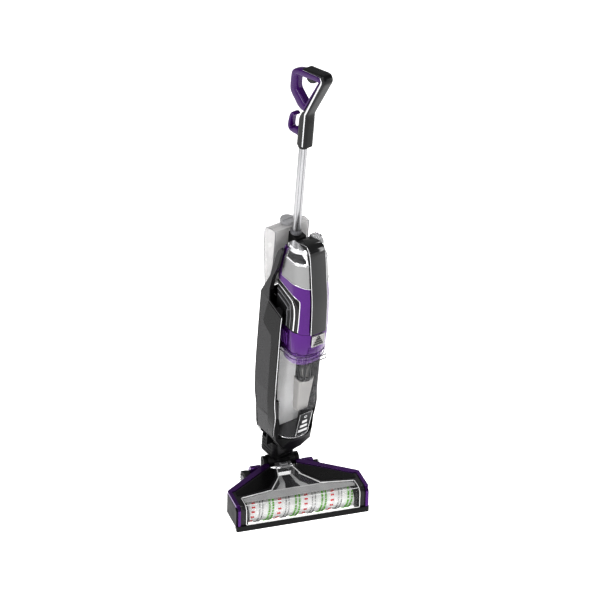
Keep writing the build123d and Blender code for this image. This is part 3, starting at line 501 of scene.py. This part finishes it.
def ribbon(bm, line, width, lift, thick, side=-1):
    """A flat raised strip along a side-view line of (y, z), lying on the upper covers."""
    rows = []
    for k, (y, z) in enumerate(line):
        before, after = line[max(k - 1, 0)], line[min(k + 1, len(line) - 1)]
        along = Vector((after[0] - before[0], after[1] - before[1])).normalized()
        across = Vector((-along.y, along.x)) * width / 2
        ring = []
        for edge, height in ((-1, lift), (-1, lift + thick * 0.7), (-0.6, lift + thick),
                             (0.6, lift + thick), (1, lift + thick * 0.7), (1, lift)):
            ring.append(on_cover(y + across.x * edge, z + across.y * edge, side, height))
        rows.append(ring)
    return loft(bm, rows)


def build_vents():
    """The nested chevron ribs of the two black vent zones."""
    for side, side_name in ((-1, "left"), (1, "right")):
        for row in range(6):
            step = 6.6 * row
            chevron = [(3 - 0.2 * step, 528 - 1.05 * step), (-30, 519.5 - 1.05 * step),
                       (-52 + 0.15 * step, 513 - 1.1 * step), (-62 + 0.62 * step, 507 - 0.95 * step),
                       (-69 + 0.9 * step, 492 - 0.75 * step), (-71.5 + 0.92 * step, 470 - 0.3 * step),
                       (-72 + 0.92 * step, 448), (-72 + 0.92 * step, 431)]
            bm = ribbon(bmesh.new(), spline(chevron, 4), 3.4, -0.3, 1.9, side)
            # The ribs are black all through; row 1 in silver and rows 3 and 5 in grey are painted highlights on
            # them.
            piece("vent_rib_%s_%d" % (side_name, row), bm, BODY, "upright", "black_plastic",
                  "silver_gloss" if row == 1 else "grey_plastic_and_painted_highlight" if row % 2 else "gloss_black", sharp=50)


build_vents()


STRIP_LINE = [(-98, 427.4), (-93, 506), (-84, 560), (-76, 604), (-69, 630), (-61, 639), (-50, 640.5),
              (-13.5, 629)]
STRIP_HALF, DRUM_TOP = 20, 598.6


def build_trim_lines():
    """The silver piping round the purple panels and along the centre strip, and a silver rod on the drum's rim as
    a painted highlight.
    """
    for side, side_name in ((-1, "left"), (1, "right")):
        diagonal = [(-9, 548.7), (-40, 548.7), (-61, 548.6), (-75, 545.4), (-86, 541.8)]
        bm = ribbon(bmesh.new(), spline(diagonal, 4), 1.8, -0.2, 1.0, side)
        piece("drum_line_" + side_name, bm, BODY, "upright", "silver_gloss", sharp=50)
        inner = [(6, 533.8), (-30, 525.2), (-57, 518.7), (-68, 514.5), (-73, 508), (-74.6, 480),
                 (-75.6, 453), (-75.8, 430)]
        bm = ribbon(bmesh.new(), spline(inner, 4), 1.5, -0.2, 0.9, side)
        piece("panel_line_" + side_name, bm, BODY, "upright", "silver_gloss", sharp=50)
        edge = [(side * 20.2, y + 1.2, z) for y, z in STRIP_LINE]
        bm = tube(bmesh.new(), spline(edge, 3), 0.9)
        piece("strip_line_" + side_name, bm, BODY, "upright", "silver_gloss", sharp=60)
        # The drum's top rim gets a silver rod: a painted highlight of the rim's bright bevel.
        rim = [(side * 12, cover_front(598) + 1.6, DRUM_TOP)]
        rim += [on_cover(y, DRUM_TOP, side, -0.6) for y in (-73, -68, -60, -52, -44, -36, -26, -15)]
        bm = tube(bmesh.new(), spline(rim, 3), 1.1)
        piece("drum_rim_highlight_" + side_name, bm, BODY, "upright", "silver_gloss", sharp=60)


build_trim_lines()


def build_strip():
    """The glossy centre strip, gently crowned across its width."""
    fine = spline(STRIP_LINE, 5)
    rings = []
    for k, (y, z) in enumerate(fine):
        before, after = fine[max(k - 1, 0)], fine[min(k + 1, len(fine) - 1)]
        along = Vector((after[0] - before[0], after[1] - before[1])).normalized()
        ring = []
        for step in range(11):
            x = STRIP_HALF * (step / 5 - 1)
            lift = 1.6 * (1 - (x / STRIP_HALF) ** 2) - 0.4
            ring.append((x, y - along.y * lift, z + along.x * lift))
        ring += [(x, y + along.y * 3, z - along.x * 3) for x in (19, 0, -19)]
        rings.append(ring)
    piece("front_strip_skin", loft(bmesh.new(), rings), BODY, "upright", "gloss_grey", bevel=0.4,
          sharp=40, replaces=("front_strip",))


build_strip()

SHELL_HALVES = [(20, 20), (62, 24), (104, 50), (160, 57), (230, 60), (480, 60), (560, 57), (670, 50)]


def shell_half(z):
    """Half width of the side shells at height z."""
    for (low_z, low_half), (high_z, high_half) in zip(SHELL_HALVES, SHELL_HALVES[1:]):
        if z <= high_z:
            return low_half + (high_half - low_half) * (z - low_z) / (high_z - low_z)
    return SHELL_HALVES[-1][1]


def build_shells():
    """Each shell's raised front facet, given a darker finish as painted shade, with its stepped rear line, and a
    silver rod along the front edge as a painted highlight.
    """
    facet = [(-12, 80, -21.5, 80), (-13, 113, -32.6, 113), (-14, 169, -41.2, 169),
             (-11, 215, -36.6, 215), (-10, 300, -36.6, 300), (-10, 360, -36.6, 360),
             (-7, 386, -36.6, 381), (17, 399, -36.8, 395), (24, 409, -37, 410),
             (20, 432, -37.4, 430), (12, 467, -38.2, 452)]
    front = [(-39, 454), (-37.6, 420), (-37.6, 381), (-37.6, 300), (-37.8, 216), (-42.4, 169),
             (-33.4, 113), (-16.6, 67)]
    for side, side_name in ((-1, "left"), (1, "right")):
        rings = []
        for rear_y, rear_z, front_y, front_z in facet:
            rings.append([(side * (shell_half(z) + lift), y, z)
                          for y, z, lift in ((rear_y, rear_z, -0.6), (rear_y - 0.6, rear_z, 1.0),
                                             (front_y + 1.6, front_z, 1.0), (front_y, front_z, -0.6))])
        # The front facet takes a darker copy of the shell's grey: painted shade where it faces away from the
        # light.
        piece("shell_facet_" + side_name, loft(bmesh.new(), rings), BODY, "upright",
              "dark_grey_plastic", "near_black_and_painted_shade", bevel=0.35, sharp=30)
        # A silver rod along the shell's front edge is a painted highlight of the light catching that edge.
        edge = [(side * (shell_half(z) - 0.7), y, z) for y, z in front]
        piece("shell_edge_highlight_" + side_name, tube(bmesh.new(), spline(edge, 4), 1.0), BODY, "upright",
              "silver_gloss", sharp=60)
        rear = [(side * shell_half(z) * 0.999, y, z) for y, z in
                ((34.5, 70), (30.8, 104), (29.8, 167), (36.8, 214), (39.8, 300), (39.8, 470))]
        piece("shell_rear_line_" + side_name, tube(bmesh.new(), spline(rear, 4), 0.7), BODY, "upright",
              "dark_grey_plastic", "gloss_black", sharp=60)


build_shells()


def build_rear():
    """The rear cover's louvres inside their frame, and the ridges of the neck."""
    for row in range(9):
        z = 350 + 9.5 * row
        outline = [(40.6, z), (43, z + 1), (43, z + 3), (40.6, z + 5.6)]
        piece("rear_louvre_%d" % row, prism(bmesh.new(), outline, -24, 24), BODY, "upright",
              "dark_grey_plastic", bevel=0.6)
    loop = [(-27, 41, 344), (27, 41, 344), (27, 41, 440), (-27, 41, 440)]
    piece("rear_frame", tube(bmesh.new(), loop, 1.2, closed=True), BODY, "upright",
          "dark_grey_plastic", sharp=60)
    for row in range(4):
        z = 27 + 8.5 * row
        ring = [(29.2 * a, 13 + 29.2 * b, z) for a, b in rounded(5, 48)]
        piece("neck_ridge_%d" % row, tube(bmesh.new(), ring, 0.8, closed=True), BODY, "upright",
              "black_plastic", sharp=60)


build_rear()


def badge(name, face, half, low, high, body, ink):
    """A badge's bright rim and a plain pattern of bars; face(x, z, lift) gives its surface."""
    rim = [face(x * half, z, 0.2) for x, z in ((-1, low), (1, low), (1, high), (-1, high))]
    piece(name + "_rim", tube(bmesh.new(), rim, 0.9, closed=True), BODY, body, "silver_gloss", sharp=60)
    tall = high - low
    thick = tall * 0.12
    for row, share in enumerate((0.12, 0.33, 0.54)):
        z = low + tall * share
        wide = half * (0.76 - 0.18 * row)
        corners = ((-wide, z), (wide, z), (wide, z + thick), (-wide, z + thick))
        rings = [[face(x, level, lift) for x, level in corners] for lift in (-0.3, 1.0)]
        piece("%s_bar_%d" % (name, row), loft(bmesh.new(), rings), BODY, body, "silver_gloss", ink,
              bevel=0.15)
    dot = [face(3.2 * math.cos(t), low + tall * 0.82 + 3.2 * math.sin(t), 0.6)
           for t in (2 * math.pi * k / 24 for k in range(24))]
    piece(name + "_ring", tube(bmesh.new(), dot, 0.8, closed=True), BODY, body, "silver_gloss", ink,
          sharp=60)


CAGE_Y, CAGE_R = -60, 18.8


def build_tank():
    """The dirty tank's rims, its spout's dark outline, the lid's lines and both badges."""
    unit = "dirty_tank_unit"
    badge("tank_badge", lambda x, z, lift: (x, -68.5 - 11.4 * (z - 122) / 70 - lift, z + 0.2 * lift),
          16.4, 123, 191, unit, "white_rim")
    badge("name_badge", lambda x, z, lift: (x, -98.5 - lift, z), 16.2, 394, 422, unit,
          "gloss_black")
    bm = loft(bmesh.new(), [[(-half, y, z), (half, y, z), (half, y + 0.8, z), (-half, y + 0.8, z)]
                            for z, half, y in ((118, 30, -13.6), (240, 35, -13.6), (346, 36, -13.6))])
    rings = [[(half * a, -48 + 37 * b, z) for a, b in rounded(2.6, 40)]
             for z, half in ((338, 41), (357, 42))]
    piece("collar_band", loft(bmesh.new(), rings, caps=False), BODY, unit, "clear_plastic",
          "collar_film", sharp=60)
    piece("tank_back", bm, BODY, unit, "clear_plastic", "white_rim", bevel=0.3)
    lip = [(-18.4, -84, 335), (-18.4, -107.6, 358), (-18.4, -107.8, 369.6), (18.4, -107.8, 369.6),
           (18.4, -107.6, 358), (18.4, -84, 335)]
    piece("spout_outline", tube(bmesh.new(), lip, 0.9), BODY, unit, "dark_grey_plastic", "gloss_black",
          sharp=60)
    piece("spout_edge", tube(bmesh.new(), [(-18, -107.4, 358), (18, -107.4, 358)], 0.8), BODY, unit,
          "dark_grey_plastic", "gloss_black", sharp=60)
    levels = [(112, 40, -65.4), (236, 44.5, -84), (370, 46, -94)]
    for row, z, radius, look in ((0, 114, 1.1, "silver_gloss"), (1, 367.6, 1.4, "purple_gloss"),
                                 (2, 353, 0.9, "purple_gloss")):
        (low_z, low_half, low_y), (high_z, high_half, high_y) = levels[:2] if z < 236 else levels[1:]
        share = (z - low_z) / (high_z - low_z)
        half = low_half + (high_half - low_half) * share - 0.4
        front = low_y + (high_y - low_y) * share + 0.4
        ring = [(half * math.cos(t), front + 0.8 * half + 0.8 * half * math.sin(t), z)
                for t in (-math.pi * k / 32 for k in range(33))]
        ring = [(half, -11, z)] + ring + [(-half, -11, z)]
        piece("tank_hoop_%d" % row, tube(bmesh.new(), ring, radius), BODY, unit, look, sharp=60)
    for side, side_name in ((-1, "left"), (1, "right")):
        rise = [(side * (half - 0.3), -10, z) for z, half, front in levels]
        piece("tank_rib_" + side_name, tube(bmesh.new(), rise, 1.0), BODY, unit, "silver_gloss",
              sharp=60)
        for row in range(5):
            grip_y = -22 - 6 * row
            bm = tube(bmesh.new(), [(side * 46.4, grip_y, 380), (side * 46.9, grip_y, 414)], 1.3)
            piece("lid_grip_%s_%d" % (side_name, row), bm, BODY, unit, "purple_gloss", sharp=60)
    for row in range(10):
        t = 2 * math.pi * row / 10 + math.pi / 10
        x, y = CAGE_R * math.cos(t), CAGE_Y + CAGE_R * math.sin(t)
        piece("cage_rib_%d" % row, tube(bmesh.new(), [(x, y, 283), (x, y, 400)], 1.4), BODY, unit,
              "black_plastic", sharp=60)


build_tank()


CAP_Y, CAP_R, MIDDLE_Z = 43, 15.9, 560


def build_clean_tank():
    """The clean tank's moulded outline, its level marks and the cap's grip ridges."""
    side_line = [(37, 483), (47, 483), (51, 508), (62, 596), (63, 622), (58, 633), (37, 640), (24, 640),
                 (24, 556), (30, 520)]
    for side, side_name in ((-1, "left"), (1, "right")):
        loop = [(side * 44.8, CAP_Y + (y - CAP_Y) * 0.985, MIDDLE_Z + (z - MIDDLE_Z) * 0.995)
                for y, z in side_line]
        piece("clean_tank_line_" + side_name, tube(bmesh.new(), loop, 0.8, closed=True), BODY,
              "clean_tank_unit", "light_grey_plastic", "seam_and_reflection_grey", sharp=60)
    for row in range(4):
        z = 520 + 24 * row
        y = 51 + (z - 508) * 11 / 88 + 0.2
        piece("level_mark_%d" % row, tube(bmesh.new(), [(-36, y, z), (-22, y, z)], 0.7), BODY,
              "clean_tank_unit", "light_grey_plastic", sharp=60)
    for row in range(24):
        t = 2 * math.pi * row / 24
        x, y = CAP_R * math.cos(t), CAP_Y + CAP_R * math.sin(t)
        piece("cap_ridge_%d" % row, tube(bmesh.new(), [(x, y, 641.4), (x, y, 648)], 0.6), BODY, "cap",
              "cap_plastic", sharp=60)


build_clean_tank()


POLE_Y, REFLECTION_LINE_R = 10, 8.8


def build_pole():
    """Grey lines along the pole as painted reflections, and the collars at both of its ends."""
    # The three grey lines stand for the lines reflected in the pole's metal: painted reflections, not seams.
    for name, turn in (("a", -2.5), ("b", -1.75), ("c", -0.7)):
        x, y = REFLECTION_LINE_R * math.cos(turn), POLE_Y + REFLECTION_LINE_R * math.sin(turn)
        bm = tube(bmesh.new(), [(x, y, 634), (x, y, 863)], 0.7 if name != "b" else 0.95)
        piece("pole_reflection_line_" + name, bm, BODY, "upright", "pole_metal", "seam_and_reflection_grey", sharp=60)
    collar = [(631.6, 12.6), (638, 12), (641, 10.6), (641, 9.3), (631.6, 9.3)]
    bm = disc(bmesh.new(), (0, POLE_Y, 0), "z", collar)
    piece("pole_collar", bm, BODY, "upright", "dark_grey_plastic", "grey_plastic_and_painted_highlight", bevel=0.5)
    ferrule = [(858.5, 9.4), (858.5, 10.9), (861, 11.6), (864.4, 11.6), (864.4, 9.4)]
    bm = disc(bmesh.new(), (0, POLE_Y, 0), "z", ferrule)
    piece("pole_ferrule", bm, BODY, "upright", "handle_black", bevel=0.4)


build_pole()


# ---------------------------------------------------------------- brush and window
BRUSH_Y, BRUSH_Z, BRUSH_R, BRUSH_HALF = -140.0, 27.0, 24.0, 125.0


def build_brush():
    """The roll's white nap and its helical rows of green, red and grey tufts."""
    rings = []
    for k in range(121):
        x = -BRUSH_HALF + 2 * BRUSH_HALF * k / 120
        swell = 21.4 + 0.25 * math.sin(k * 1.7) + (0.15 if k % 2 else 0)
        if k in (0, 120):
            swell = 16
        rings.append([(x, BRUSH_Y + (swell + 0.3 * math.sin(9 * t + k)) * math.cos(t),
                       BRUSH_Z + (swell + 0.3 * math.sin(9 * t + k)) * math.sin(t))
                      for t in (2 * math.pi * j / 72 for j in range(72))])
    piece("brush_nap", loft(bmesh.new(), rings), FOOT, "brush", "pile_fibre", "white_nap", sharp=70,
          replaces=("brush_pile",))
    random.seed(11)
    rows = [("green", 0, 1.6), ("green", 8.5, 1.6), ("red", 24, 2.1), ("grey", 39, 0.8),
            ("grey", 46, 0.8)]
    pitch = 62.0
    for colour in ("green", "red", "grey"):
        bm = bmesh.new()
        for row_colour, shift, radius in rows:
            if row_colour != colour:
                continue
            for turn in range(-6, 6):
                start = shift + pitch * turn
                count = 12 if colour == "red" else 44
                for k in range(count):
                    angle = 2 * math.pi * k / count
                    x = start - 34 * angle / (2 * math.pi)
                    if abs(x) > BRUSH_HALF - 3:
                        continue
                    t = angle + random.uniform(-0.02, 0.02)
                    lean = random.uniform(-0.05, 0.05)
                    foot_r, tip_r = 19.0, BRUSH_R - random.uniform(0, 0.5)
                    if colour == "red":
                        tip_r = 22.8
                    width = radius * (1.5 if colour == "red" else 1.0)
                    for dx in (-width / 2, width / 2):
                        base = Vector((x + dx, BRUSH_Y + foot_r * math.cos(t),
                                       BRUSH_Z + foot_r * math.sin(t)))
                        tip = Vector((x + dx * 1.3, BRUSH_Y + tip_r * math.cos(t + lean),
                                      BRUSH_Z + tip_r * math.sin(t + lean)))
                        tube(bm, [base, base.lerp(tip, 0.6), tip], width * 0.62, 6)
        piece("brush_tufts_" + colour, bm, FOOT, "brush", "pile_fibre", "tuft_" + colour, sharp=50)


build_brush()


WHEEL_FACE, WHEEL_Y, WHEEL_Z, TREAD_R = 93, -10, 24, 23.8


def build_foot():
    """The window's bright rims, the duct's floor and dark throat, cover insets, latch ribs and wheel faces."""
    duct = [(56, -118), (55.6, -114.6), (26.8, -72), (19.2, -37)]
    for side, side_name in ((-1, "left"), (1, "right")):
        line = [(side * x, y, 61.2) for x, y in duct]
        line = [(side * 132, -129.4, 60.4)] + line
        piece("duct_rim_" + side_name, tube(bmesh.new(), line, 1.5), FOOT, "window", "clear_plastic",
              "white_rim", sharp=60)
        end = [(side * 133.4, -170.4, 16), (side * 133.4, -170.4, 48), (side * 133.4, -167.4, 56),
               (side * 133.4, -160, 60.6), (side * 133.4, -150, 61), (side * 133.4, -131, 61)]
        piece("window_rim_" + side_name, tube(bmesh.new(), spline(end, 3), 1.1), FOOT, "window",
              "clear_plastic", "white_rim", sharp=60)
        plan = [(35, -31), (133, -103), (140, -107), (140, -122), (131, -122), (60, -108.6),
                (33.5, -71), (27, -42)]
        bm = prism(bmesh.new(), [(side * x, y) for x, y in plan], 61.6, 63.1, "z")
        piece("cover_inset_" + side_name, bm, FOOT, "foot", "dark_grey_plastic", "near_black_and_painted_shade",
              bevel=0.7)
        face = side * WHEEL_FACE
        hub = [(0, 14.4), (side * 0.6, 14.2), (side * 1.2, 12), (side * 0.5, 9), (side * 0.5, 6.5),
               (side * 1.6, 5.6), (side * 1.9, 0.4)]
        bm = disc(bmesh.new(), (face - side * 3, WHEEL_Y, WHEEL_Z), "x", hub, 48)
        piece("wheel_hub_" + side_name, bm, FOOT, "wheel_" + side_name, "rubber", "grey_plastic_and_painted_highlight",
              sharp=35)
        for row in range(36):
            t = 2 * math.pi * row / 36
            y, z = WHEEL_Y + TREAD_R * math.cos(t), WHEEL_Z + TREAD_R * math.sin(t)
            bm = tube(bmesh.new(), [(face - side * 13, y, z), (face - side * 2.4, y, z)], 0.7, 6)
            piece("tread_%s_%d" % (side_name, row), bm, FOOT, "wheel_" + side_name, "rubber", sharp=60)
    front = [(-133, -171.2, 15.4), (133, -171.2, 15.4)]
    piece("window_sill", tube(bmesh.new(), front, 1.0), FOOT, "window", "clear_plastic", "white_rim",
          sharp=60)
    crown = [(-132, -161.5, 60.2), (132, -161.5, 60.2)]
    piece("window_crown", tube(bmesh.new(), crown, 0.7), FOOT, "window", "clear_plastic", "white_rim",
          sharp=60)
    floor_plan = [(52, -112), (23.4, -72), (16, -40), (-16, -40), (-23.4, -72), (-52, -112)]
    piece("duct_floor", prism(bmesh.new(), floor_plan, 43, 44.4, "z"), FOOT, "window", "clear_plastic",
          "white_rim", bevel=0.4)
    throat = [(20, -104), (12, -76), (9.5, -44), (-9.5, -44), (-12, -76), (-20, -104)]
    piece("duct_throat", prism(bmesh.new(), throat, 44.4, 46, "z"), FOOT, "window", "clear_plastic",
          "gloss_black", bevel=0.5)
    film = [(-130, -131.4), (-57, -118.8), (57, -118.8), (130, -131.4), (130, -147), (-130, -147)]
    piece("window_film", prism(bmesh.new(), film, 58.1, 58.7, "z"), FOOT, "window", "clear_plastic",
          "film")
    step = [(-117, 52), (-112, 52), (-112, 57), (-117, 57)]
    piece("window_step", prism(bmesh.new(), step, -128, 128), FOOT, "foot", "black_plastic",
          "white_rim", bevel=0.8)
    for row in range(4):
        bm = tube(bmesh.new(), [(-7, -30.4 + 2 * row, 68.4), (7, -30.4 + 2 * row, 68.4)], 0.55)
        piece("latch_rib_%d" % row, bm, FOOT, "window_button", "dark_grey_plastic", "gloss_black",
              sharp=60)


build_foot()

# ---------------------------------------------------------------- floor
floor_mesh = bpy.data.meshes.new("floor")
floor_mesh.from_pydata([(-30, -30, 0), (30, -30, 0), (30, 30, 0), (-30, 30, 0)], [], [(0, 1, 2, 3)])
floor = bpy.data.objects.new("floor", floor_mesh)
floor_look = moulded("floor", (0.92, 0.92, 0.92), 0.7, 40, 0.02, vary=0.01)
floor_shader = floor_look.node_tree.nodes["Principled BSDF"]
floor_shader.inputs["Emission Color"].default_value = (1, 1, 1, 1)
floor_shader.inputs["Emission Strength"].default_value = 0.9
floor_mesh.materials.append(floor_look)
bpy.context.scene.collection.objects.link(floor)
